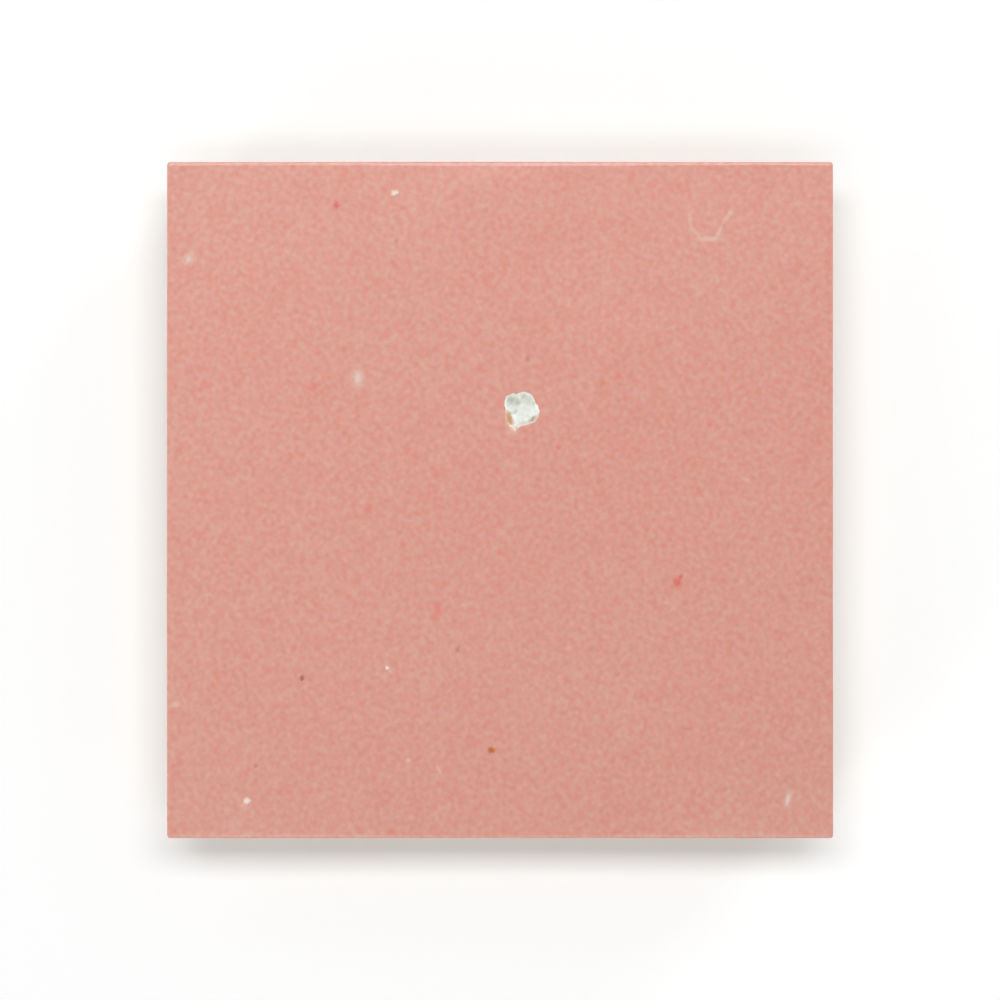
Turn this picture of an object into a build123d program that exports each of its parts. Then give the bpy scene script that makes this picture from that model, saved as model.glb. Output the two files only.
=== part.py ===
from build123d import *
import math
import os
import random

# A hand-cut glazed clay tile, a zellige square, lying on its bed with the glazed face up.
# It is one fired piece: a straight knife-cut band runs round under the glazed arris,
# and below it the four sides are chiselled back towards the bed, stroke by stroke.
# Frame: origin at the middle of the bed, +X across the face, +Y up the face, +Z out of the glaze.
# All sizes are in millimetres and all angles in degrees.

# Outer size
face_width = 100.0
face_length = 101.5
thickness = 11.0
corner_round = 0.5
arris_round = 0.3

# Sides: the band, how far the skirt runs in to the bed, and the chisel's strokes
edge_band = 3.2
undercut = 2.8
stroke_width = 7.8
stroke_climb = 1.7
corner_climb = 0.8
corner_break = 1.6

# How much the strokes stray from one to the next: as shares of their width and climb, and a twist
width_stray = 0.3
climb_stray = 0.25
twist_stray = 6.0

# Glazed face, which was beaten flat by hand and so swells and dips
swell_height = 0.17
swell_length = 64.0
swell_heading = 28.0
ripple_height = 0.07
ripple_length = 31.0
ripple_heading = 117.0
pillow_fall = 0.22

# Pit in the glaze, a spalled bowl with a short spur below it
pit_across = 3.35
pit_up = 13.55
pit_width = 5.3
pit_depth = 0.55
spur_across = -1.0
spur_down = 2.6
spur_width = 2.2
spur_depth = 0.3

# Where the band ends and the skirt begins, and a length that reaches through the tile from there
band_foot = thickness - edge_band
right_through = 3 * thickness

# How the surfaces are made, not how large they are
FACE_SAMPLES = 25
FACE_MARGIN = 1.06
STROKE_OVERLAP = 1.1


def wave(x, y, length, heading):
    """A wave of height 1 that runs along the heading, at the point x, y."""
    along = x * math.cos(math.radians(heading)) + y * math.sin(math.radians(heading))
    return math.sin(2 * math.pi * along / length)


def face_height(x, y):
    """The height of the glazed face over the bed."""
    swell = swell_height * wave(x, y, swell_length, swell_heading)
    ripple = ripple_height * wave(x, y, ripple_length, ripple_heading)
    pillow = pillow_fall * ((2 * x / face_width) ** 4 + (2 * y / face_length) ** 4) / 2
    return thickness + swell + ripple - pillow


def glazed_surface():
    """The waved face as one smooth sheet, a little larger than the tile."""
    steps = [FACE_MARGIN * (2 * i / (FACE_SAMPLES - 1) - 1) / 2 for i in range(FACE_SAMPLES)]
    rows = [
        [Vector(u * face_width, v * face_length, face_height(u * face_width, v * face_length)) for v in steps]
        for u in steps
    ]
    return Face.make_surface_from_array_of_points(rows, tol=0.002, min_deg=3, max_deg=3)


def outline(inset):
    """The tile's outline, brought in by the same amount on every side."""
    return RectangleRounded(face_width - 2 * inset, face_length - 2 * inset, corner_round)


def blank():
    """The tile before the chisel: a straight band on a skirt that runs in to the bed, under the waved face."""
    skirt = loft([outline(undercut), Pos(0, 0, band_foot) * outline(0)])
    band = Pos(0, 0, band_foot) * extrude(outline(0), right_through)
    under_face = extrude(glazed_surface(), right_through, dir=(0, 0, -1))
    return (skirt + band) & under_face


def round_arris(tile):
    """Eases the edge where the glaze rolls over from the face to the band."""
    mid_band = thickness - edge_band / 2
    arris = [edge for edge in tile.edges() if edge.bounding_box().min.Z > mid_band]
    return fillet(arris, arris_round)


def stroke(number, outward, along, run_in, width, climb):
    """One chisel stroke: a shallow flute down the skirt.

    outward is the level vector from the middle of the tile to the side, and along the stroke's place
    on that side. The skirt there runs in by run_in on its way down to the bed, and the flute reaches
    up the band by climb before it runs out. The number decides how this stroke strays.
    """
    hand = random.Random(number)
    climb *= 1 + hand.uniform(-climb_stray, climb_stray)
    twist = hand.uniform(-twist_stray, twist_stray)
    facing = outward.normalized()
    along_side = facing.cross(Vector(0, 0, 1))
    lean = math.atan2(run_in, band_foot)
    depth = climb * math.sin(lean)
    half_chord = STROKE_OVERLAP * width / 2
    radius = (half_chord**2 + depth**2) / (2 * depth)
    foot = outward + along_side * along + Vector(0, 0, band_foot)
    up_slope = facing * math.sin(lean) + Vector(0, 0, math.cos(lean))
    on_skirt = Plane(origin=foot, x_dir=along_side, z_dir=up_slope)
    return on_skirt * Pos(0, radius - depth, 0) * Rot(0, twist, 0) * Cylinder(radius, right_through)


def stroke_widths(first, span):
    """The widths of the strokes that share one side, no two the same. They are numbered from first."""
    count = round(span / stroke_width)
    shares = [1 + random.Random(first + i).uniform(-width_stray, width_stray) for i in range(count)]
    return [span * share / sum(shares) for share in shares]


def side_strokes():
    """The strokes along the four sides, numbered round the tile."""
    east, north = Vector(face_width / 2, 0, 0), Vector(0, face_length / 2, 0)
    strokes = []
    for outward, span in ((east, face_length), (north, face_width), (-east, face_length), (-north, face_width)):
        along = -span / 2
        for width in stroke_widths(len(strokes), span):
            along += width / 2
            strokes.append(stroke(len(strokes), outward, along, undercut, width, stroke_climb))
            along += width / 2
    return strokes


def corner_strokes():
    """One steeper stroke on each corner, where the chisel knocks off the point under the band."""
    run_in = undercut * math.sqrt(2) + corner_break
    corners = [Vector(x * face_width / 2, y * face_length / 2, 0) for x in (-1, 1) for y in (-1, 1)]
    return [stroke(i, corner, 0, run_in, stroke_width, corner_climb) for i, corner in enumerate(corners)]


def bowl(x, y, width, depth):
    """A shallow round bowl to cut from the face, as wide and as deep as given where it meets the glaze."""
    radius = ((width / 2) ** 2 + depth**2) / (2 * depth)
    return Pos(x, y, face_height(x, y) - depth + radius) * Sphere(radius)


def pit():
    """The spalled pit: the main bowl and the spur that runs on from it."""
    main = bowl(pit_across, pit_up, pit_width, pit_depth)
    spur = bowl(pit_across + spur_across, pit_up - spur_down, spur_width, spur_depth)
    return main + spur


def tile():
    """The whole tile as one solid."""
    return round_arris(blank()) - side_strokes() - corner_strokes() - pit()


os.makedirs("parts", exist_ok=True)
export_step(tile(), "parts/tile.step")
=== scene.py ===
"""The looks of a hand-cut glazed clay tile: one closed mesh in two finishes, glaze and bare clay.

Its face follows the same waves as the solid and its sides are measured off the solid, so that it
stays where the solid is. What it adds is relief under a millimetre, the finishes, and the marks
that the photograph shows in the glaze. The tile is worked out in millimetres, and the stage round
it in metres.
"""

import math
from dataclasses import dataclass

import bpy
import numpy as np
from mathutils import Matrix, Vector, noise
from mathutils.bvhtree import BVHTree
from mathutils.geometry import delaunay_2d_cdt


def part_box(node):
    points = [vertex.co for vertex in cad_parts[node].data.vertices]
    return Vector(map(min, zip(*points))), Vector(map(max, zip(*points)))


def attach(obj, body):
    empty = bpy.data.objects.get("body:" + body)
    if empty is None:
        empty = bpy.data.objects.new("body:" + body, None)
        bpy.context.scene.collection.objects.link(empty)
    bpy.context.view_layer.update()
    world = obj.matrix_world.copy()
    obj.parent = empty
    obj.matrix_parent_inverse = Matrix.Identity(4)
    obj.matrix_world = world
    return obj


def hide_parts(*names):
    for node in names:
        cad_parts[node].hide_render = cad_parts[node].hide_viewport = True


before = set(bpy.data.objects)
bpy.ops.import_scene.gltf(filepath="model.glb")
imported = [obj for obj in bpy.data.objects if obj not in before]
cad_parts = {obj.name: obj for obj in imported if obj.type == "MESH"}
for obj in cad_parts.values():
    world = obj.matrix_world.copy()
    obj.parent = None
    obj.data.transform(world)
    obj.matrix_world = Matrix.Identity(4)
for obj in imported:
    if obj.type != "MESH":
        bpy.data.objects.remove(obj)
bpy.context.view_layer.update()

MM = 0.001

# The solid's own sizes, in millimetres and degrees
tile_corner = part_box("tile")[1] / MM
half_width = tile_corner.x
half_length = tile_corner.y
thickness = 11.0
edge_band = 3.2
corner_round = 0.5
arris_round = 0.3
swell_height, swell_length, swell_heading = 0.17, 64.0, 28.0
ripple_height, ripple_length, ripple_heading = 0.07, 31.0, 117.0
pillow_fall = 0.22
pit_across, pit_up, pit_depth = 3.35, 13.55, 0.55

# Relief that the solid leaves out, in millimetres: how high or how deep it is
glaze_lip = 0.32
glaze_lip_waver = 0.14
glaze_step = 0.08
glaze_pool = 0.012
band_grain = 0.06
fracture = 0.42
bed_grain = 0.15
bed_flake = 0.6

# How far across the lumps of that relief are, in millimetres
pool_size = 7.0
pit_lump_size = 1.1
lip_waver_size = 3.0
scoop_size = 4.4
small_scoop_size = 1.8
crumb_size = 0.9
flake_size = 5.0
dent_size = 11.0
small_dent_size = 2.6

# The fracture fades out from this far below the band's foot to this far above it, in millimetres
fracture_fade_below, fracture_fade_above = 0.8, 1.4

# How far up the sides the bed's flakes reach, in millimetres
flake_height = 1.8

# What the fracture's depth is made of, in shares: large scoops, small scoops and crumbs
SCOOPS, SMALL_SCOOPS, CRUMBS = 0.4, 0.38, 0.22

# How deep the bed lies, in shares of its grain: the mean, the large and small dents, and the deepest
BED_MEAN, BED_DENTS, BED_SMALL_DENTS, BED_DEEPEST = 0.4, 0.5, 0.2, 1.2

# The pit's rim round its middle: direction in degrees from +X and reach in millimetres
PIT_RIM = (
    (0, 2.62), (9, 2.5), (23, 2.25), (38, 2.36), (60, 2.6), (87, 2.74), (109, 2.48), (125, 2.87),
    (142, 3.12), (159, 2.9), (179, 2.56), (203, 2.82), (221, 3.1), (243, 3.3), (252, 3.55),
    (258, 2.9), (267, 2.42), (290, 2.45), (313, 2.62), (336, 2.7),
)

# The pit's depth in shares: the glaze's broken edge, the bowl under it, and the lumps of its floor
PIT_EDGE, PIT_BOWL, PIT_LUMPS = 0.42, 0.58, 0.3

# Where the pit changes, in shares of the way from its middle to its rim
PIT_EDGE_FOOT = 0.86
PIT_LUMPS_FADE = (0.7, 0.95)
PIT_CHALK_FADE = (0.93, 1.03)
PIT_CHALK_WAVER = 0.05

# How fine the mesh is: its steps in millimetres, and how many rows go over the arris
FACE_STEP = 0.52
PIT_STEP = 0.17
SIDE_STEP = 0.37
BED_STEP = 0.85
ARRIS_ROWS = 5

# How far from the pit's middle its own step ends and the face's step begins, in millimetres
PIT_STEP_END, FACE_STEP_START = 3.2, 5.7

# The turn, in degrees, at which a crest in the mesh is shaded as sharp
SHARP_CREST = 24

# How the square map of the tile's surface is laid out, in pixels: patches as left, low, wide, high
MAP_SIDE = 1024
MAP_FACE = (6, 6, 700, 710)
MAP_BED = (6, 724, 292, 294)
MAP_STRIPS = (714, 6, 72, 710)
MAP_STRIP_PITCH = 77


def smooth_step(value, low, high):
    """0 below low, 1 above high, and a smooth rise between."""
    share = np.clip((value - low) / (high - low), 0, 1)
    return share * share * (3 - 2 * share)


# Fractal noise: how far apart its seeds lie, how fast its octaves fade and how much finer each is
SEED_SHIFT = (17.3, 9.1, 5.7)
OCTAVE_FADE, OCTAVE_RATIO = 0.6, 2.1


def lumps(points, size, octaves, seed):
    """Fractal noise at points in millimetres, about -1 to 1, with its largest lumps about size across."""
    shift = Vector([seed * step for step in SEED_SHIFT])
    places = [Vector(point) / size + shift for point in points]
    return np.array([noise.fractal(place, OCTAVE_FADE, OCTAVE_RATIO, octaves) for place in places])


# How far a scoop reaches from its middle, in shares of its size
SCOOP_REACH = 0.85


def scoops(points, size):
    """Shallow hollows about size across that meet in sharp crests: 1 at their middles, 0 at the crests."""
    nearest = np.array([noise.voronoi(Vector(point) / size)[0][0] for point in points])
    return 1 - np.clip(nearest / SCOOP_REACH, 0, 1) ** 2


# The glazed face


def wave(x, y, length, heading):
    """A wave of height 1 that runs along the heading."""
    along = x * math.cos(math.radians(heading)) + y * math.sin(math.radians(heading))
    return np.sin(2 * math.pi * along / length)


def face_height(x, y):
    """The height of the glazed face over the bed, as in the solid."""
    swell = swell_height * wave(x, y, swell_length, swell_heading)
    ripple = ripple_height * wave(x, y, ripple_length, ripple_heading)
    pillow = pillow_fall * ((x / half_width) ** 4 + (y / half_length) ** 4) / 2
    return thickness + swell + ripple - pillow


def grid_lines(half, pit_middle):
    """Where the face's grid lines lie: close together over the arris at each end and over the pit."""
    turn = np.linspace(0, math.pi / 2, ARRIS_ROWS + 1)
    arris = arris_round * (1 - np.cos(turn))
    start, end = -half + arris[-1], half - arris[-1]
    inner = [start]
    while inner[-1] < end:
        away = smooth_step(abs(inner[-1] - pit_middle), PIT_STEP_END, FACE_STEP_START)
        inner.append(inner[-1] + PIT_STEP + (FACE_STEP - PIT_STEP) * away)
    inner = start + (np.array(inner) - start) * (end - start) / (inner[-1] - start)
    return np.concatenate([-half + arris[:-1], inner, half - arris[:-1][::-1]])


def draw_in_corners(x, y):
    """Moves the grid's points near the four corners onto the rounded outline and its parallels."""
    u = (abs(x) - (half_width - corner_round)) / corner_round
    v = (abs(y) - (half_length - corner_round)) / corner_round
    at_corner = (u > 0) & (v > 0)
    u, v = np.where(at_corner, u, 1.0), np.where(at_corner, v, 1.0)
    pull = np.maximum(u, v) / np.hypot(u, v) * corner_round
    corner_x = np.sign(x) * (half_width - corner_round + u * pull)
    corner_y = np.sign(y) * (half_length - corner_round + v * pull)
    return np.where(at_corner, corner_x, x), np.where(at_corner, corner_y, y)


def distance_in(x, y):
    """How far points lie inside the rounded outline."""
    u = abs(x) - (half_width - corner_round)
    v = abs(y) - (half_length - corner_round)
    beyond = np.hypot(np.maximum(u, 0), np.maximum(v, 0))
    return corner_round - beyond - np.minimum(np.maximum(u, v), 0)


def pit_share(x, y):
    """0 at the middle of the pit, 1 at its rim and more outside it."""
    across, up = x - pit_across, y - pit_up
    directions = [math.radians(direction) for direction, reach in PIT_RIM]
    reaches = [reach for direction, reach in PIT_RIM]
    rim = np.interp(np.arctan2(up, across) % (2 * math.pi), directions, reaches, period=2 * math.pi)
    return np.hypot(across, up) / rim


def pit_fall(share, rough):
    """How far the pit takes the face down: a broken glaze edge, then a bowl with a lumpy floor."""
    edge = PIT_EDGE * (1 - smooth_step(share, PIT_EDGE_FOOT, 1.0))
    bowl = PIT_BOWL * np.clip(1 - share**2, 0, 1)
    floor = PIT_LUMPS * rough * (1 - smooth_step(share, *PIT_LUMPS_FADE))
    return pit_depth * (edge + bowl + floor)


def face_grid():
    """The face's points in rows, and how much each lies in the pit, 0 to 1."""
    x, y = np.meshgrid(grid_lines(half_width, pit_across), grid_lines(half_length, pit_up))
    x, y = draw_in_corners(x, y)
    inset = np.clip(arris_round - distance_in(x, y), 0, arris_round)
    roll = arris_round - np.sqrt(arris_round**2 - inset**2)
    level = np.column_stack([x.ravel(), y.ravel(), np.zeros(x.size)])
    pool = glaze_pool * (lumps(level, pool_size, octaves=2, seed=1).reshape(x.shape) - 1)
    rough = lumps(level, pit_lump_size, octaves=3, seed=2).reshape(x.shape)
    share = pit_share(x, y)
    z = face_height(x, y) - roll + pool - pit_fall(share, rough)
    in_pit = 1 - smooth_step(share + PIT_CHALK_WAVER * rough, *PIT_CHALK_FADE)
    return np.stack([x, y, z], axis=2), in_pit.ravel()


# The sides


def rim_sides(rows, columns):
    """The indices of the face's outermost points, round the tile, as four runs: one for each side."""
    south = list(range(columns - 1))
    east = [r * columns + columns - 1 for r in range(rows - 1)]
    north = [(rows - 1) * columns + c for c in range(columns - 1, 0, -1)]
    west = [r * columns for r in range(rows - 1, 0, -1)]
    return south, east, north, west


class SolidSides:
    """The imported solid's sides, to measure where they lie at a height."""

    # How far outside and inside the rim a measuring ray starts and ends, and the lowest it may run
    REACH = 7.0
    LOWEST = 0.03

    def __init__(self):
        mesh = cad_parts["tile"].data
        points = [v.co / MM for v in mesh.vertices]
        self.tree = BVHTree.FromPolygons(points, [p.vertices for p in mesh.polygons])

    def measure(self, rim_point, height):
        """The point of the side at this height under a point of the rim, and the level direction inwards."""
        x, y = rim_point[:2]
        z = max(height, self.LOWEST)
        inner = Vector((x * (1 - self.REACH / half_width), y * (1 - self.REACH / half_length), z))
        outer = Vector((2 * x - inner.x, 2 * y - inner.y, z))
        inwards = (inner - outer).normalized()
        return self.tree.ray_cast(outer, inwards)[0], inwards


def side_relief(points, height, along_rim):
    """How far the sides' fine relief goes in: a smooth band, and under it clay broken in small scoops."""
    band_foot = thickness - edge_band
    fade = (band_foot - fracture_fade_below, band_foot + fracture_fade_above)
    chiselled = 1 - smooth_step(height, *fade)
    large, small = scoops(points, scoop_size), scoops(points, small_scoop_size)
    crumbs = 0.5 + 0.5 * lumps(points, crumb_size, octaves=2, seed=5)
    rough = SCOOPS * large + SMALL_SCOOPS * small + CRUMBS * crumbs
    near_bed = 1 - smooth_step(height, 0.0, flake_height)
    flakes = np.clip(lumps(along_rim, flake_size, octaves=3, seed=6), 0, 1) * near_bed
    return rough * (band_grain + (fracture - band_grain) * chiselled) + bed_flake * flakes


def side_rings(rim):
    """The rings of points down the sides and how hollow each is: the glaze's lip, then clay to the bed."""
    solid = SolidSides()
    lip_z = rim[:, 2] - glaze_lip - glaze_lip_waver * lumps(rim, lip_waver_size, octaves=3, seed=3)
    rings = [np.column_stack([rim[:, :2], lip_z])]
    hollows = [np.zeros(len(rim))]
    steps = round(thickness / SIDE_STEP)
    for step in range(steps + 1):
        z = (lip_z - glaze_step / 2) * (1 - step / steps)
        measured = [solid.measure(point, height) for point, height in zip(rim, z)]
        at = np.array([point[:] for point, inwards in measured])
        inwards = np.array([inwards[:2] for point, inwards in measured])
        relief = side_relief(at, z, rim)
        at[:, :2] += inwards * (glaze_step + relief)[:, None]
        at[:, 2] = z
        rings.append(at)
        hollows.append(relief / fracture)
    return rings, hollows


# The bed


def inside(points, ring):
    """Which points lie inside a closed outline."""
    x, y = points[:, 0], points[:, 1]
    result = np.zeros(len(points), bool)
    for (ax, ay), (bx, by) in zip(ring[:, :2], np.roll(ring[:, :2], -1, axis=0)):
        if ay != by:
            crosses = (ay > y) != (by > y)
            result ^= crosses & (x < ax + (y - ay) * (bx - ax) / (by - ay))
    return result


# How large the field of the bed's own points is, in shares of its outline
BED_FIELD = 0.99

# The triangulation's settings: it keeps what is inside the outline, and joins points this close
KEEP_INSIDE, SAME_POINT = 1, 1e-6


def bed_sheet(ring):
    """The bed inside its outline: its own points, how hollow each is, and triangles over all of them."""
    xs = np.arange(-half_width, half_width, BED_STEP)
    ys = np.arange(-half_length, half_length, BED_STEP)
    grid = np.array([(x + BED_STEP / 2 * (row % 2), y) for row, y in enumerate(ys) for x in xs])
    grid = grid[inside(grid, ring * [BED_FIELD, BED_FIELD, 1])]
    flat = [Vector(point[:2]) for point in ring] + [Vector(point) for point in grid]
    outline = [(i, (i + 1) % len(ring)) for i in range(len(ring))]
    made = delaunay_2d_cdt(flat, outline, [], KEEP_INSIDE, SAME_POINT)
    faces, sources = made[2], made[3]
    triangles = [[sources[i][0] for i in face] for face in faces]
    level = np.column_stack([grid, np.zeros(len(grid))])
    large = lumps(level, dent_size, octaves=2, seed=8)
    small = lumps(level, small_dent_size, octaves=2, seed=7)
    hollow = np.clip(BED_MEAN + (BED_DENTS * large + BED_SMALL_DENTS * small), 0, BED_DEEPEST)
    level[:, 2] = bed_grain * hollow
    return level, hollow, triangles


# The tile's mesh


class Skin:
    """Collects the tile's faces, each with its finish and the places of its corners on the map."""

    GLAZE, CLAY = 0, 1

    def __init__(self):
        self.faces, self.finishes, self.places = [], [], []

    def add(self, corners, finish, places):
        """Adds a face by the indices of its corners, with their places on the map."""
        self.faces.append([int(i) for i in corners])
        self.finishes.append(finish)
        self.places += places

    def make(self, name, points, fields):
        """The mesh object over points in millimetres. Each field names a value for every point."""
        mesh = bpy.data.meshes.new(name)
        mesh.from_pydata((points * MM).tolist(), [], self.faces)
        mesh.polygons.foreach_set("material_index", self.finishes)
        mesh.polygons.foreach_set("use_smooth", [True] * len(self.faces))
        for field, values in fields.items():
            mesh.attributes.new(field, "FLOAT", "POINT").data.foreach_set("value", values)
        layer = mesh.uv_layers.new(name="OFBake")
        layer.data.foreach_set("uv", (np.array(self.places) / MAP_SIDE).ravel())
        mesh.update()
        mesh.set_sharp_from_angle(angle=math.radians(SHARP_CREST))
        return bpy.data.objects.new(name, mesh)


def map_place(patch, u, v):
    """The map's pixel at shares u and v of a patch given by its corner, width and height."""
    left, low, wide, high = patch
    return left + u * wide, low + v * high


def seen_from_above(points, corners, patch):
    """The places of a face's corners on a patch of the map that shows the tile from above."""
    shares = [(points[i][:2] / (half_width, half_length) + 1) / 2 for i in corners]
    return [map_place(patch, u, v) for u, v in shares]


def add_face(skin, rows, columns, points):
    """Adds the glazed face, whose points lie in rows."""
    for r in range(rows - 1):
        for c in range(columns - 1):
            first = r * columns + c
            corners = (first, first + 1, first + columns + 1, first + columns)
            skin.add(corners, Skin.GLAZE, seen_from_above(points, corners, MAP_FACE))


def add_sides(skin, sides, first, levels):
    """Joins the rim to the rings under it, whose points start at first, and returns the lowest ring."""
    rim = [i for side in sides for i in side]
    above = rim
    left, low, wide, high = MAP_STRIPS
    for level in range(levels):
        below = [first + level * len(rim) + i for i in range(len(rim))]
        finish = Skin.GLAZE if level == 0 else Skin.CLAY
        start = 0
        for number, side in enumerate(sides):
            strip = (left + number * MAP_STRIP_PITCH, low, wide, high)
            for i in range(len(side)):
                a, b = start + i, (start + i + 1) % len(rim)
                spots = ((level, i), (level + 1, i), (level + 1, i + 1), (level, i + 1))
                places = [map_place(strip, down / levels, along / len(side)) for down, along in spots]
                skin.add((above[a], below[a], below[b], above[b]), finish, places)
            start += len(side)
        above = below
    return above


def add_bed(skin, points, outline, first, triangles):
    """Adds the bed's triangles, facing down. They count the outline's points first, then the bed's own."""
    index = list(outline) + list(range(first, len(points)))
    for triangle in triangles:
        corners = [index[i] for i in triangle]
        a, b, c = (points[i] for i in corners)
        faces_up = (b[0] - a[0]) * (c[1] - a[1]) > (b[1] - a[1]) * (c[0] - a[0])
        corners = corners[::-1] if faces_up else corners
        skin.add(corners, Skin.CLAY, seen_from_above(points, corners, MAP_BED))


def make_tile():
    """The whole tile as one closed mesh."""
    face, in_pit = face_grid()
    rows, columns = face.shape[:2]
    face = face.reshape(-1, 3)
    sides = rim_sides(rows, columns)
    rings, hollows = side_rings(face[[i for side in sides for i in side]])
    bed, bed_hollow, triangles = bed_sheet(rings[-1])
    points = np.concatenate([face, *rings, bed])
    first_of_rings = len(face)
    first_of_bed = len(points) - len(bed)

    skin = Skin()
    add_face(skin, rows, columns, face)
    outline = add_sides(skin, sides, first_of_rings, len(rings))
    add_bed(skin, points, outline, first_of_bed, triangles)
    fields = {
        "pit": np.concatenate([in_pit, np.zeros(len(points) - len(face))]),
        "hollow": np.concatenate([np.zeros(len(face)), *hollows, bed_hollow]),
        "bed": np.concatenate([np.zeros(first_of_bed), np.ones(len(bed))]),
    }
    return skin.make("glazed_tile", points, fields)


# Finishes


def colour(red, green, blue):
    """A linear colour from its sRGB values, each 0 to 255."""
    return (*[((v / 255 + 0.055) / 1.055) ** 2.4 for v in (red, green, blue)], 1.0)


class Finish:
    """A material's node tree, with short ways to add to it. Its lengths are in millimetres."""

    # Turns the noise's own grid off the tile's axes, in radians, so that the grid doesn't show
    TURN = (0.7, 0.4, 0.9)

    # The mix node's sockets for its share, its two colours and their blend
    MIX_SHARE, MIX_FIRST, MIX_SECOND, MIX_BLEND = 0, 6, 7, 2

    def __init__(self, name):
        self.material = bpy.data.materials.new(name)
        self.material.use_nodes = True
        self.tree = self.material.node_tree
        self.tree.nodes.clear()
        self.place = self.add("ShaderNodeTexCoord").outputs["Object"]

    def add(self, kind, inputs=None, **settings):
        """Adds a node. Each input gets a value, or a link where an output is given for it."""
        node = self.tree.nodes.new(kind)
        for name, value in settings.items():
            setattr(node, name, value)
        for name, value in (inputs or {}).items():
            if isinstance(value, bpy.types.NodeSocket):
                self.tree.links.new(value, node.inputs[name])
            else:
                node.inputs[name].default_value = value
        return node

    def maths(self, operation, first, second):
        """The result of one step of arithmetic."""
        return self.add("ShaderNodeMath", {0: first, 1: second}, operation=operation).outputs[0]

    def vector(self, operation, *values):
        """The result of one step with vectors, which is a number for a length or a dot product."""
        made = self.add("ShaderNodeVectorMath", dict(enumerate(values)), operation=operation)
        return made.outputs["Value" if operation in ("LENGTH", "DOT_PRODUCT") else "Vector"]

    def field(self, name):
        """The value that the mesh holds for each point under this name."""
        return self.add("ShaderNodeAttribute", attribute_name=name).outputs["Fac"]

    def noise(self, size, detail=2.0, rough=0.5, seed=0.0, stretch=(1.0, 1.0, 1.0), result="Fac"):
        """Noise of 0 to 1 with its largest lumps about size across, times a stretch along each axis."""
        scale = [1 / (size * factor * MM) for factor in stretch]
        shift = (seed, seed / 2, -seed)
        at = {"Vector": self.place, "Scale": scale, "Rotation": self.TURN, "Location": shift}
        moved = self.add("ShaderNodeMapping", at).outputs[0]
        inputs = {"Vector": moved, "Scale": 1.0, "Detail": detail, "Roughness": rough}
        return self.add("ShaderNodeTexNoise", inputs).outputs[result]

    def spread(self, value, low, high, to_low=0.0, to_high=1.0, shape="SMOOTHSTEP"):
        """Turns value's stretch from low to high into one from to_low to to_high, and clips beyond it."""
        inputs = {"Value": value, "From Min": low, "From Max": high, "To Min": to_low, "To Max": to_high}
        return self.add("ShaderNodeMapRange", inputs, interpolation_type=shape).outputs["Result"]

    def blend(self, share, first, second):
        """The colour first where share is 0 and second where it is 1."""
        inputs = {self.MIX_SHARE: share, self.MIX_FIRST: first, self.MIX_SECOND: second}
        return self.add("ShaderNodeMix", inputs, data_type="RGBA").outputs[self.MIX_BLEND]

    def brighten(self, base, factor):
        """The colour base with its brightness times factor."""
        return self.add("ShaderNodeHueSaturation", {"Color": base, "Value": factor}).outputs[0]

    def bump(self, height, distance, under=None):
        """The normal of relief that is distance high where height is 1, laid over other relief if given."""
        inputs = {"Height": height, "Distance": distance * MM}
        if under is not None:
            inputs["Normal"] = under
        return self.add("ShaderNodeBump", inputs).outputs[0]

    def close(self, **inputs):
        """Ends the tree with the shader, whose inputs are given with _ for each space in their names."""
        named = {name.replace("_", " "): value for name, value in inputs.items()}
        shader = self.add("ShaderNodeBsdfPrincipled", named)
        self.add("ShaderNodeOutputMaterial", {"Surface": shader.outputs[0]})
        return self.material


# The glaze's marks

# Where the tile lies in the photograph, in its pixels
PHOTO_LEFT, PHOTO_RIGHT = 167.9, 498.6
PHOTO_TOP, PHOTO_BOTTOM = 170.0, 505.6
MM_PER_PIXEL = 2 * half_width / (PHOTO_RIGHT - PHOTO_LEFT)


def photo_point(x, y):
    """The place on the face, in millimetres, of a pixel of the photograph."""
    middle_x = (PHOTO_LEFT + PHOTO_RIGHT) / 2
    middle_y = (PHOTO_TOP + PHOTO_BOTTOM) / 2
    return (x - middle_x) * MM_PER_PIXEL, (middle_y - y) * MM_PER_PIXEL


@dataclass
class Mark:
    """A mark in the glaze: its middle, width, height and turn in the photograph, in pixels and degrees."""

    x: float
    y: float
    wide: float
    high: float
    turn: float = 0.0

    def reach(self, finish, place):
        """0 at the mark's middle, 1 at its edge and more outside it."""
        middle = [length * MM for length in photo_point(self.x, self.y)]
        half = [length / 2 * MM_PER_PIXEL * MM for length in (self.wide, self.high)]
        inputs = {
            "Vector": place,
            "Location": (*middle, 0.0),
            "Rotation": (0.0, 0.0, math.radians(self.turn)),
            "Scale": (*half, 1.0),
        }
        local = finish.add("ShaderNodeMapping", inputs, vector_type="TEXTURE").outputs[0]
        return finish.vector("LENGTH", local)


@dataclass
class Tone:
    """Marks of one colour, with how strong they are and how far their edges fade."""

    colour: tuple
    strength: float
    fade: float
    marks: dict

    def paint(self, finish, place, ground):
        """The ground with these marks on it."""
        reach = None
        for mark in self.marks.values():
            own = mark.reach(finish, place)
            reach = own if reach is None else finish.maths("MINIMUM", reach, own)
        share = finish.spread(reach, 1 - self.fade, 1 + self.fade, to_low=self.strength, to_high=0.0)
        return finish.blend(share, ground, self.colour)


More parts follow.
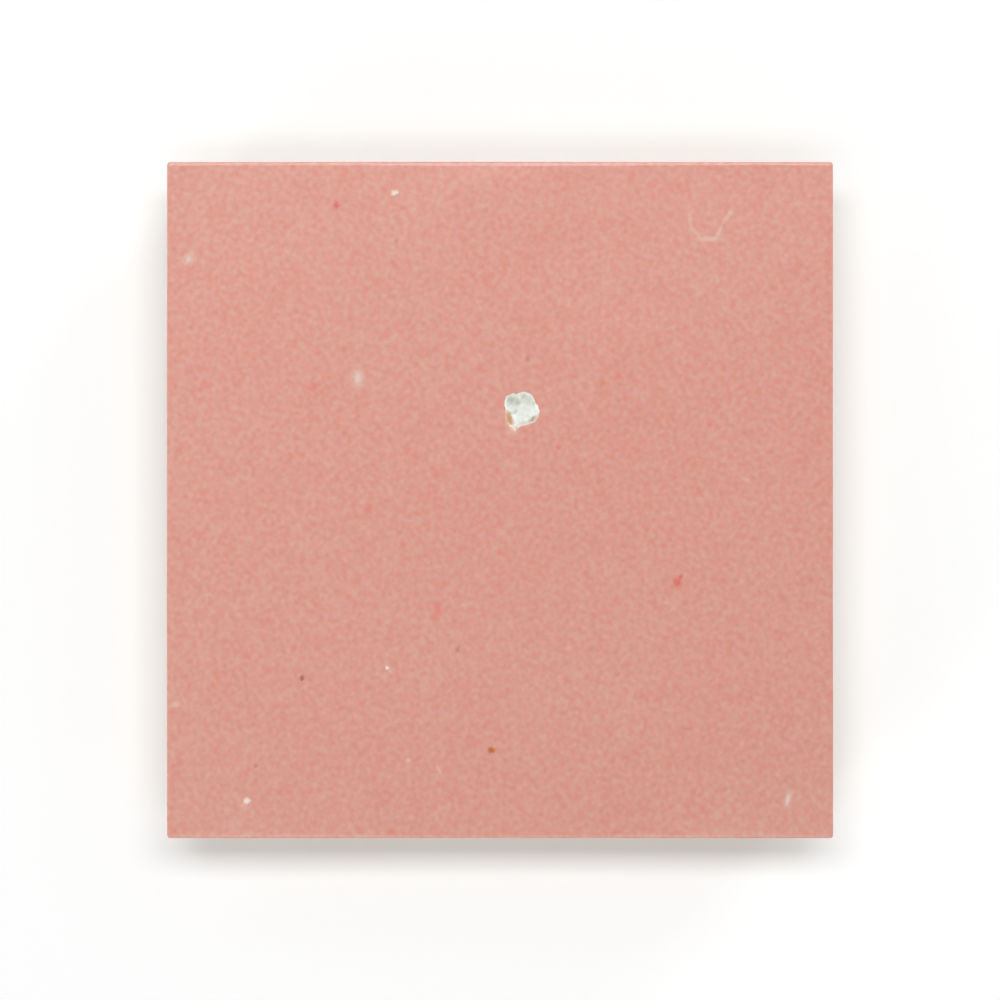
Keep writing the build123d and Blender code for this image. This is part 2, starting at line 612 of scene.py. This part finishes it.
# The tones of the marks in the glaze, the lowest first
GLAZE_MARKS = {
    "clouds": Tone(colour(224, 206, 194), strength=0.5, fade=0.95, marks={
        "cloud left of the pit": Mark(262.8, 277.6, 5.4, 8.0),
        "cloud by the west edge": Mark(179.0, 218.0, 4.2, 6.8, -35.0),
        "streak in the south east": Mark(476.2, 486.0, 2.8, 7.2, -20.0),
    }),
    "cores of the clouds": Tone(colour(230, 226, 216), strength=0.45, fade=0.95, marks={
        "core of the cloud left of the pit": Mark(262.6, 277.2, 2.6, 4.4),
        "core of the cloud by the west edge": Mark(178.8, 218.4, 1.6, 3.2, -35.0),
        "core of the streak in the south east": Mark(475.8, 486.6, 1.4, 4.0, -20.0),
    }),
    "pale": Tone(colour(227, 188, 174), strength=0.48, fade=0.85, marks={
        "pale rim of the spur": Mark(338.8, 303.0, 5.4, 3.8, 20.0),
        "hook, west arm": Mark(427.6, 199.0, 1.8, 9.5, 6.0),
        "hook, west bend": Mark(430.3, 205.0, 2.0, 8.0, 38.0),
        "streak low in the middle": Mark(303.0, 472.0, 1.6, 6.0, 30.0),
        "pale speck in the east": Mark(455.3, 327.4, 3.4, 1.8, -20.0),
        "tail of the speck in the west": Mark(278.8, 422.4, 3.6, 1.8, -45.0),
        "tail of the chip in the south west": Mark(205.4, 489.2, 3.4, 1.8, 35.0),
    }),
    "faintly pale": Tone(colour(226, 190, 172), strength=0.28, fade=0.8, marks={
        "streak right of the pit": Mark(373.8, 291.0, 1.6, 5.0, 35.0),
        "turn of that streak": Mark(376.6, 291.2, 1.6, 4.0, -35.0),
        "pale streak in the north west": Mark(280.8, 256.8, 1.6, 4.0, -35.0),
        "pale speck above the pit": Mark(320.1, 268.9, 3.4, 3.6),
        "pale streak in the south east": Mark(453.4, 458.4, 1.6, 4.2, -25.0),
        "pale speck by the south edge": Mark(462.4, 503.2, 3.0, 2.0, 20.0),
    }),
    "bright": Tone(colour(228, 195, 183), strength=0.62, fade=0.88, marks={
        "hook, foot": Mark(436.6, 208.4, 10.0, 2.3, -2.0),
        "hook, east bend": Mark(442.1, 205.2, 2.1, 8.0, -24.0),
        "hook, east arm": Mark(445.2, 199.0, 1.9, 8.0, -33.0),
        "hook, east end": Mark(447.4, 195.6, 2.2, 2.2),
        "hook, south east corner": Mark(440.0, 208.0, 4.0, 2.6),
        "speck low in the middle": Mark(287.8, 467.1, 2.2, 2.2),
        "speck by the west edge": Mark(172.8, 439.3, 3.4, 2.6),
    }),
    "grey": Tone(colour(186, 134, 128), strength=0.45, fade=0.8, marks={
        # Painted shadow beside the hook's east arm; the two grey dots below are the glaze's own
        "shade of the hook's east arm": Mark(444.1, 202.2, 1.4, 7.0, -22.0),
        "grey dot in the north west": Mark(281.8, 209.7, 1.8, 1.8),
        "grey dot in the south east": Mark(473.4, 455.2, 2.2, 2.4),
    }),
    "white": Tone(colour(238, 231, 219), strength=0.85, fade=0.6, marks={
        "chip near the north edge": Mark(281.0, 185.4, 3.9, 2.0, 24.0),
        "chip in the south west": Mark(207.8, 486.9, 3.0, 2.7),
        "speck in the west": Mark(277.3, 420.9, 1.8, 1.5, 30.0),
    }),
    "red": Tone(colour(219, 104, 92), strength=0.8, fade=0.7, marks={
        "red dot in the north": Mark(252.1, 191.6, 3.0, 3.2),
        "red dot in the east": Mark(421.0, 378.8, 4.0, 4.6, -20.0),
        "upper end of the red dot in the east": Mark(422.8, 376.2, 2.0, 3.4, -25.0),
    }),
    "faintly red": Tone(colour(226, 112, 100), strength=0.45, fade=0.85, marks={
        "faint red dot in the west": Mark(240.9, 281.9, 4.0, 4.0),
        "faint red dot in the middle": Mark(268.2, 341.7, 4.0, 3.6),
        "faint red dot east of the pit": Mark(392.0, 276.2, 2.6, 2.8),
        "faint red dot in the north east": Mark(437.2, 300.7, 3.0, 1.8, 35.0),
        "faint red dot under the amber one": Mark(431.8, 332.9, 2.4, 2.2),
        "faint red dot right of the middle": Mark(406.1, 352.5, 2.8, 2.0, 30.0),
        "faint red dot by the west edge": Mark(229.4, 315.3, 2.4, 2.2),
        "faint red dot under the pit": Mark(362.2, 311.3, 2.4, 2.4),
        "faint red dot in the south": Mark(302.4, 392.4, 3.4, 7.4),
        "foot of the red dot in the south": Mark(300.4, 396.0, 3.4, 3.0),
        "faint red dot by the south edge": Mark(279.4, 502.5, 2.8, 2.4),
    }),
    "rust": Tone(colour(196, 104, 46), strength=0.95, fade=0.6, marks={
        "rust dot": Mark(329.0, 462.0, 3.4, 2.9),
    }),
    "amber": Tone(colour(214, 132, 86), strength=0.55, fade=0.8, marks={
        "amber dot in the east": Mark(430.0, 320.3, 3.8, 2.6, 35.0),
        "amber dot by the pit": Mark(384.5, 279.9, 3.6, 2.8),
    }),
    "dark": Tone(colour(132, 80, 76), strength=0.72, fade=0.6, marks={
        "dark dot in the south west": Mark(235.1, 426.2, 2.4, 2.4),
    }),
    "dim": Tone(colour(184, 104, 98), strength=0.5, fade=0.8, marks={
        "dim dot above the pit": Mark(347.0, 267.9, 1.9, 2.4),
        "dim dot by the south edge": Mark(212.0, 469.6, 1.8, 1.8),
        "dim dot in the south": Mark(312.2, 412.0, 2.2, 2.4),
    }),
}

# The tones of the marks in the pit's chalk, the lowest first
PIT_MARKS = {
    "shade": Tone(colour(204, 207, 195), strength=0.7, fade=0.8, marks={
        "shade in the north east": Mark(347.4, 287.8, 7.4, 5.2, -30.0),
        "shade in the north west": Mark(339.4, 288.8, 6.5, 6.0),
    }),
    "grit": Tone(colour(180, 180, 160), strength=0.6, fade=0.85, marks={
        "grit in the north west": Mark(338.6, 288.2, 2.8, 2.6),
        "grit in the north": Mark(345.0, 286.2, 2.4, 2.0),
        "grit above the middle": Mark(342.3, 289.3, 2.4, 2.6),
        "grit left of the middle": Mark(340.8, 293.9, 2.8, 1.3, 40.0),
        "grit in the east": Mark(349.8, 289.8, 2.0, 1.6),
        "grit in the south": Mark(344.9, 299.6, 4.0, 1.3, 15.0),
    }),
    "cream": Tone(colour(224, 190, 170), strength=0.75, fade=0.6, marks={
        "cream tip of the spur": Mark(340.6, 303.3, 4.6, 3.8),
        # The crescents are partly the pale glaze lip's own colour and partly painted light on the pit's
        # lower wall
        "cream crescent, south": Mark(346.6, 301.2, 7.5, 3.2, 12.0),
        "cream crescent, east": Mark(351.4, 297.8, 3.0, 6.5, -35.0),
    }),
    "ochre": Tone(colour(200, 152, 108), strength=0.95, fade=0.55, marks={
        "ochre sliver": Mark(337.7, 297.4, 3.5, 7.4, 20.0),
    }),
    # Painted shadow: a dark crescent in the pit's south east, under the glaze's lip
    "dark": Tone(colour(138, 122, 92), strength=0.68, fade=0.85, marks={
        "painted shadow in the south east": Mark(349.1, 297.9, 3.8, 1.7, 42.0),
    }),
}

# How far the edges of the marks stray, and how far across their bends are, in millimetres
MARK_STRAY, MARK_BEND = 0.6, 0.5


def ragged_place(finish):
    """The place on the tile, moved about a little, so that what is laid out on it gets ragged edges."""
    bends = finish.noise(MARK_BEND, detail=1.0, seed=7.0, result="Color")
    bends = finish.vector("SUBTRACT", bends, (0.5, 0.5, 0.5))
    return finish.vector("MULTIPLY_ADD", bends, (MARK_STRAY * MM, MARK_STRAY * MM, 0.0), finish.place)


def paint_all(finish, place, tones, ground):
    """The ground with the marks of all these tones on it."""
    for tone in tones.values():
        ground = tone.paint(finish, place, ground)
    return ground


# The glaze

ROSE, BEIGE, LILAC = colour(220, 140, 126), colour(217, 171, 155), colour(221, 160, 157)
CHALK_SHADE, CHALK_LIGHT = colour(231, 235, 226), colour(243, 247, 240)
CHALK_ROUGHNESS = 0.85

# The mottle's layers: how far across their lumps are in millimetres, their detail and their weight
MOTTLE = ((0.85, 0.0, 0.78), (3.5, 1.0, 0.27), (24.0, 0.0, 0.16))

# The fine grain: its size in millimetres, and its weight in the mottle and in the brightness
GRAIN_SIZE, GRAIN_IN_MOTTLE, GRAIN_IN_LEVEL = 0.7, 0.3, 0.14

# How the mottle and the brightness drift across the tile, for each metre along X, Y and Z
MOTTLE_DRIFT = (-0.75, 0.0, 0.0)
# The brightness drift is partly the glaze's own tone and partly painted light: the glaze is lighter to the
# north and west
PAINTED_LIGHT_AND_TONE_DRIFT = (-0.4, 0.6, 0.0)

# The brightness in the tile's middle, before the grain adds to it
MIDDLE_LEVEL = 0.93


def glaze_ground(finish):
    """The glaze's colour: a mottle of rose and beige with a lilac tint, and a slow drift that is partly
    painted light.
    """
    grain = finish.noise(GRAIN_SIZE, detail=1.0, seed=5.0)
    mottle = finish.vector("DOT_PRODUCT", finish.place, MOTTLE_DRIFT)
    mottle = finish.maths("ADD", mottle, finish.maths("MULTIPLY", grain, GRAIN_IN_MOTTLE))
    for size, detail, weight in MOTTLE:
        layer = finish.noise(size, detail, rough=0.6, seed=size)
        mottle = finish.maths("ADD", mottle, finish.maths("MULTIPLY", layer, weight))
    ground = finish.blend(finish.spread(mottle, 0.28, 1.26, shape="LINEAR"), ROSE, BEIGE)
    tint = finish.noise(1.6, detail=1.0, seed=17.0)
    ground = finish.blend(finish.spread(tint, 0.45, 0.75, to_high=0.22), ground, LILAC)
    # Painted light in part: the glaze grows lighter to the north and west
    level = finish.vector("DOT_PRODUCT", finish.place, PAINTED_LIGHT_AND_TONE_DRIFT)
    level = finish.maths("ADD", level, finish.maths("MULTIPLY", grain, GRAIN_IN_LEVEL))
    return finish.brighten(ground, finish.maths("ADD", level, MIDDLE_LEVEL))


def glaze():
    """Pink glaze and its marks, glossy and dimpled like orange peel, with matt chalk in the pit."""
    finish = Finish("glaze")
    ragged = ragged_place(finish)
    ground = paint_all(finish, ragged, GLAZE_MARKS, glaze_ground(finish))
    crumbs = finish.noise(0.6, detail=2.0, rough=0.6, seed=2.0)
    chalk = finish.blend(finish.spread(crumbs, 0.35, 0.65), CHALK_SHADE, CHALK_LIGHT)
    chalk = paint_all(finish, ragged, PIT_MARKS, chalk)
    in_pit = finish.spread(finish.field("pit"), 0.35, 0.65)
    ground = finish.blend(in_pit, ground, chalk)

    smear = finish.noise(9.0, detail=3.0, rough=0.6, seed=11.0)
    gloss = finish.spread(smear, 0.3, 0.7, to_low=0.1, to_high=0.2)
    roughness = finish.maths("MAXIMUM", gloss, finish.maths("MULTIPLY", in_pit, CHALK_ROUGHNESS))
    peel = finish.bump(finish.noise(1.3, detail=1.0, seed=13.0), distance=0.02)
    powder = finish.bump(finish.maths("MULTIPLY", crumbs, in_pit), distance=0.08, under=peel)
    return finish.close(Base_Color=ground, Roughness=roughness, Normal=powder)


# The clay

BUFF, PINK_CLAY, ASH = colour(213, 189, 160), colour(208, 178, 150), colour(198, 182, 160)
GRIT, SPARKLE = colour(164, 128, 100), colour(234, 224, 205)
CLAY_ROUGHNESS = 0.92

# How much longer the bed's drag lines are along each axis
DRAG_STRETCH = (1.0, 25.0, 1.0)


def fired_clay():
    """Bare fired clay: buff with faint clouds, grit and open pores, drag lines along the bed, and painted
    shade in its hollows and pores.
    """
    finish = Finish("fired_clay")
    clouds = finish.noise(16.0, detail=3.0)
    ground = finish.blend(finish.spread(clouds, 0.4, 0.66), BUFF, PINK_CLAY)
    stains = finish.noise(7.0, detail=4.0, rough=0.6, seed=4.0)
    ground = finish.blend(finish.spread(stains, 0.5, 0.8, to_high=0.35), ground, ASH)
    # Painted shade: the clay is darker in its hollows and scoops than on its crests
    shade = finish.spread(finish.field("hollow"), 0.1, 1.0, to_low=1.04, to_high=0.9)
    ground = finish.brighten(ground, shade)
    grit = finish.noise(0.45, detail=2.0, rough=0.7, seed=9.0)
    ground = finish.blend(finish.spread(grit, 0.62, 0.74, to_high=0.45), ground, GRIT)
    sparkle = finish.noise(0.6, detail=2.0, rough=0.7, seed=15.0)
    ground = finish.blend(finish.spread(sparkle, 0.62, 0.72, to_high=0.5), ground, SPARKLE)
    pores = finish.spread(finish.noise(0.55, detail=0.0, seed=8.0), 0.18, 0.26)
    # Painted shade: the pores are darker inside
    ground = finish.brighten(ground, finish.spread(pores, 0.0, 1.0, to_low=0.8))

    lines = finish.noise(1.1, detail=2.0, rough=0.6, seed=3.0, stretch=DRAG_STRETCH)
    drag = finish.bump(finish.maths("MULTIPLY", lines, finish.field("bed")), distance=0.25)
    grain = finish.noise(0.8, detail=5.0, rough=0.75, seed=6.0)
    relief = finish.bump(grain, distance=0.5, under=drag)
    relief = finish.bump(pores, distance=0.12, under=relief)
    return finish.close(Base_Color=ground, Roughness=CLAY_ROUGHNESS, Normal=relief)


# The stage, in metres

FLOOR_HALF = 6.0
FLOOR_DROP = 0.05 * MM

# The floor's paint as it lights the tile and as it is seen
FLOOR_LIGHTS = (0.62, 0.62, 0.62, 1.0)
FLOOR_SEEN = (1.03, 1.03, 1.03, 1.0)

# How far from the tile's middle the floor starts to turn plain white, and where it has turned
PLAIN_START, PLAIN_FULL = 0.1, 0.3

# A ray that meets the floor within this length comes from the bed or the foot of a side
BED_RAY = 0.6 * MM

# How bright the dome is at heights from -1, straight down, over 0, the horizon, to 1, straight up
DOME = (
    (-1.0, 0.55), (-0.03, 0.55), (0.0, 1.0), (0.18, 1.0), (0.28, 0.14),
    (0.37, 0.14), (0.41, 0.85), (0.5, 0.85), (0.54, 0.16), (0.8, 0.24),
)

# How much of the picture's width the tile fills
SHARE_OF_PICTURE = 0.667


def floor_finish():
    """Pale and diffuse by the tile, plain white farther away, and clear from below and to the bed."""
    finish = Finish("floor_white")
    rays = finish.add("ShaderNodeLightPath").outputs
    seen = finish.maths("MAXIMUM", rays["Is Camera Ray"], rays["Is Glossy Ray"])
    seen = finish.maths("MAXIMUM", seen, rays["Is Transmission Ray"])
    paint = finish.blend(seen, FLOOR_LIGHTS, FLOOR_SEEN)
    near = finish.add("ShaderNodeBsdfDiffuse", {"Color": paint}).outputs[0]
    white = finish.add("ShaderNodeEmission").outputs[0]
    away = finish.vector("LENGTH", finish.place)
    far = finish.maths("MULTIPLY", seen, finish.spread(away, PLAIN_START, PLAIN_FULL))
    front = finish.add("ShaderNodeMixShader", {0: far, 1: near, 2: white}).outputs[0]
    clear = finish.add("ShaderNodeBsdfTransparent").outputs[0]
    behind = finish.add("ShaderNodeNewGeometry").outputs["Backfacing"]
    under_bed = finish.maths("LESS_THAN", rays["Ray Length"], BED_RAY)
    open_ways = finish.maths("MAXIMUM", behind, under_bed)
    both = finish.add("ShaderNodeMixShader", {0: open_ways, 1: front, 2: clear})
    finish.add("ShaderNodeOutputMaterial", {"Surface": both.outputs[0]})
    return finish.material


def make_floor():
    """A level floor just under the bed, which keeps the tile's shadow."""
    mesh = bpy.data.meshes.new("floor")
    corners = [(x * FLOOR_HALF, y * FLOOR_HALF, 0) for x, y in ((-1, -1), (1, -1), (1, 1), (-1, 1))]
    mesh.from_pydata(corners, [], [(0, 1, 2, 3)])
    mesh.materials.append(floor_finish())
    floor = bpy.data.objects.new("floor", mesh)
    floor.location.z = -FLOOR_DROP
    bpy.context.scene.collection.objects.link(floor)


def make_lamp(name, place, size, power):
    """A soft box that faces the tile. Its place and size are in metres and its power is in watts."""
    lamp = bpy.data.lights.new(name, "AREA")
    lamp.shape = "RECTANGLE"
    lamp.size, lamp.size_y = size
    lamp.energy = power
    made = bpy.data.objects.new(name, lamp)
    made.location = place
    made.rotation_euler = (-Vector(place)).to_track_quat("-Z", "Y").to_euler()
    made.visible_camera = False
    bpy.context.scene.collection.objects.link(made)
    return made


def make_lamps():
    """Two lamps over the tile, one under its bed, two low ones for its sides, and four for its gloss."""
    make_lamp("key", place=(0.0, 0.5, 1.15), size=(1.4, 0.42), power=8.75)
    make_lamp("fill", place=(0.0, -0.5, 1.15), size=(1.4, 0.42), power=2.95)
    make_lamp("under_bed", place=(-0.6, -0.7, -0.5), size=(0.5, 0.5), power=4.5)
    for x, y in ((0.8, 0.8), (-0.8, -0.8)):
        side = make_lamp("side", place=(x, y, 0.16), size=(0.5, 0.25), power=5.2)
        side.visible_glossy = False
    for x, y in ((0.8, 0.8), (-0.8, 0.8), (-0.8, -0.8), (0.8, -0.8)):
        make_lamp("window", place=(x, y, 0.38), size=(0.2, 0.36), power=0.18)


def make_world():
    """A pale wall round the floor, and over it a soft dome with a bright ring for the glaze to mirror."""
    world = bpy.data.worlds.new("studio")
    world.use_nodes = True
    tree = world.node_tree
    add, link = tree.nodes.new, tree.links.new
    split = add("ShaderNodeSeparateXYZ")
    link(add("ShaderNodeTexCoord").outputs["Generated"], split.inputs[0])
    ramp = add("ShaderNodeValToRGB")
    stops = ramp.color_ramp.elements
    while len(stops) < len(DOME):
        stops.new(1.0)
    for stop, (height, strength) in zip(stops, DOME):
        stop.position = (height + 1) / 2
        stop.color = (strength, strength, strength, 1.0)
    share = add("ShaderNodeMapRange")
    share.inputs["From Min"].default_value = -1.0
    link(split.outputs["Z"], share.inputs["Value"])
    link(share.outputs["Result"], ramp.inputs["Fac"])
    link(ramp.outputs["Color"], tree.nodes["Background"].inputs["Color"])
    bpy.context.scene.world = world


def make_camera():
    """Straight down over the tile, which fills two thirds of the picture's width."""
    camera = bpy.data.cameras.new("camera")
    camera.lens = 100
    camera.sensor_width = 36
    seen_width = 2 * half_width * MM / SHARE_OF_PICTURE
    distance = seen_width * camera.lens / camera.sensor_width
    made = bpy.data.objects.new("camera", camera)
    made.location = (0, 0, thickness * MM + distance)
    bpy.context.scene.collection.objects.link(made)
    bpy.context.scene.camera = made


tile = make_tile()
tile.data.materials.append(glaze())
tile.data.materials.append(fired_clay())
bpy.context.scene.collection.objects.link(tile)
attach(tile, "root")
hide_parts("tile")

make_floor()
make_world()
make_lamps()
make_camera()
bpy.context.scene.view_settings.view_transform = "Standard"
